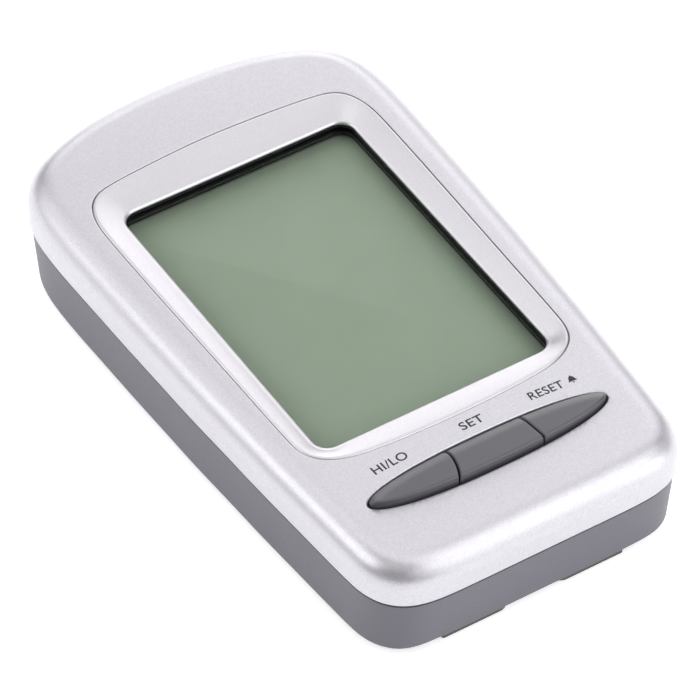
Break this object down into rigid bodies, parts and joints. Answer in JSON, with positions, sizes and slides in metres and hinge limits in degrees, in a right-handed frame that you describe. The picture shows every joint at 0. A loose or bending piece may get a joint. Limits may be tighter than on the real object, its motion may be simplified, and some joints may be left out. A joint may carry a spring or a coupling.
{
  "type": "maximum minimum thermometer",
  "caption": "Hand-sized digital thermometer with a silver arched case, a large blank liquid-crystal window, a lens-shaped row of grey keys and a fold-out desk stand.",
  "frame": {"origin": "centre of the footprint, on the plane the thermometer lies on (underside of the folded stand and battery plateau)", "axes": "+Z out of the display, +Y towards the arched top, +X to the right of the display"},
  "size_m": [0.0682, 0.12, 0.0231],
  "materials": {
    "silver_shell": "satin, fine metallic flake",
    "bezel_silver": "satin metallic",
    "grey_plastic": "fine satin",
    "key_grey": "semi-gloss",
    "clear_lens": "polished",
    "black_plastic": "matt",
    "lcd_glass": "satin",
    "elastomer": "matt",
    "board_green": "solder mask",
    "epoxy_black": "gloss",
    "bright_metal": "bright",
    "brass_disc": "satin",
    "capacitor_blue": "gloss",
    "mat_rubber": "matt",
    "cell_wrap": "gloss",
    "wire_red": "satin",
    "wire_black": "satin"
  },
  "bodies": {
    "case": {"front_cover": "silver_shell", "rear_cover": "grey_plastic", "display_bezel": "bezel_silver", "display_lens": "clear_lens", "lcd_frame": "black_plastic", "lcd_panel": "lcd_glass", "zebra_strip": "elastomer", "circuit_board": "board_green", "controller_blob": "epoxy_black", "quartz_crystal": "bright_metal", "capacitor": "capacitor_blue", "temperature_sensor": "epoxy_black", "keypad_mat": "mat_rubber", "dome_left": "mat_rubber", "dome_middle": "mat_rubber", "dome_right": "mat_rubber", "battery": "cell_wrap", "battery_spring": "bright_metal", "battery_contact": "bright_metal", "piezo_buzzer": "brass_disc", "buzzer_lead_black": "wire_black", "buzzer_lead_red": "wire_red", "battery_lead_black": "wire_black", "battery_lead_red": "wire_red", "case_screw_1": "bright_metal", "case_screw_2": "bright_metal", "case_screw_3": "bright_metal", "case_screw_4": "bright_metal", "board_screw_1": "bright_metal", "board_screw_2": "bright_metal", "board_screw_3": "bright_metal", "board_screw_4": "bright_metal"},
    "key_left": {"key_left": "key_grey"},
    "key_middle": {"key_middle": "key_grey"},
    "key_right": {"key_right": "key_grey"},
    "stand": {"stand": "grey_plastic"},
    "battery_cover": {"battery_cover": "grey_plastic"}
  },
  "joints": [
    {"name": "key_left_press", "type": "slide", "parent": "case", "child": "key_left", "axis": [0, 0, -1], "range_m": [0, 0.0007], "stiffness_N_per_m": 900, "springref_m": -0.0004, "deforming": ["dome_left"]},
    {"name": "key_middle_press", "type": "slide", "parent": "case", "child": "key_middle", "axis": [0, 0, -1], "range_m": [0, 0.0007], "stiffness_N_per_m": 900, "springref_m": -0.0004, "deforming": ["dome_middle"]},
    {"name": "key_right_press", "type": "slide", "parent": "case", "child": "key_right", "axis": [0, 0, -1], "range_m": [0, 0.0007], "stiffness_N_per_m": 900, "springref_m": -0.0004, "deforming": ["dome_right"]},
    {"name": "stand_hinge", "type": "hinge", "parent": "case", "child": "stand", "pos_m": [0, 0.0015, 0.0032], "axis": [1, 0, 0], "range_deg": [0, 55]},
    {"name": "battery_cover_slide", "type": "slide", "parent": "case", "child": "battery_cover", "axis": [0, 1, 0], "range_m": [0, 0.0215]}
  ]
}
